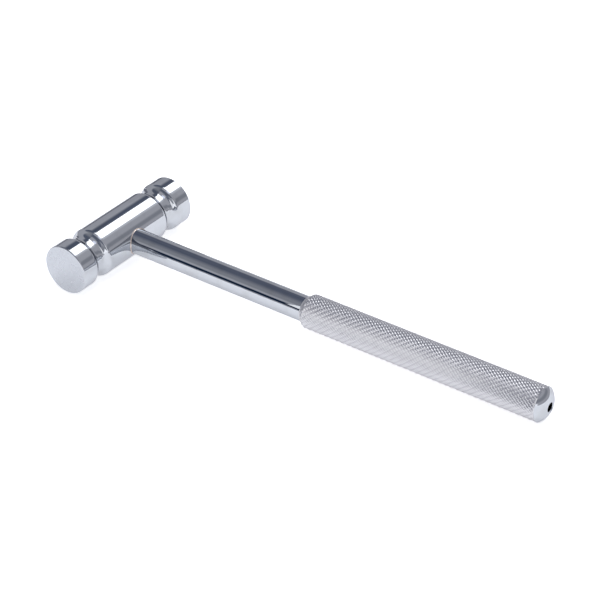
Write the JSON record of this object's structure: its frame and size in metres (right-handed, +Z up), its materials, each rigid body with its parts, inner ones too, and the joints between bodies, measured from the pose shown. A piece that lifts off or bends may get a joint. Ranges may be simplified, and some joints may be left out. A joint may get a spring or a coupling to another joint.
{
  "type": "reflex hammer",
  "caption": "All-metal reflex hammer: a turned double-faced head with grooved necks on a slim round shaft with a diamond-knurled grip and a drilled, domed end.",
  "frame": {"origin": "on the surface it lies on, under the middle of its bounding box", "axes": "+X along the handle from the head to the grip's end, +Y along the head from the front striking face to the rear one, +Z up"},
  "size_m": [0.2056, 0.0634, 0.02],
  "materials": {
    "polished_head": "mirror polish",
    "striking_cap": "mirror polished side, satin striking face",
    "polished_shaft": "mirror polish with fine lengthwise lines",
    "plain_steel": "turned",
    "braze": "dull",
    "knurled_grip": "plated diamond knurl",
    "polished_plug": "mirror polish"
  },
  "bodies": {
    "root": {"head_barrel": "polished_head", "striking_cap_front": "striking_cap", "striking_cap_rear": "striking_cap", "shaft_tube": "polished_shaft", "shaft_stud": "plain_steel", "braze_ring": "braze", "grip_sleeve": "knurled_grip", "end_plug": "polished_plug"}
  },
  "joints": []
}
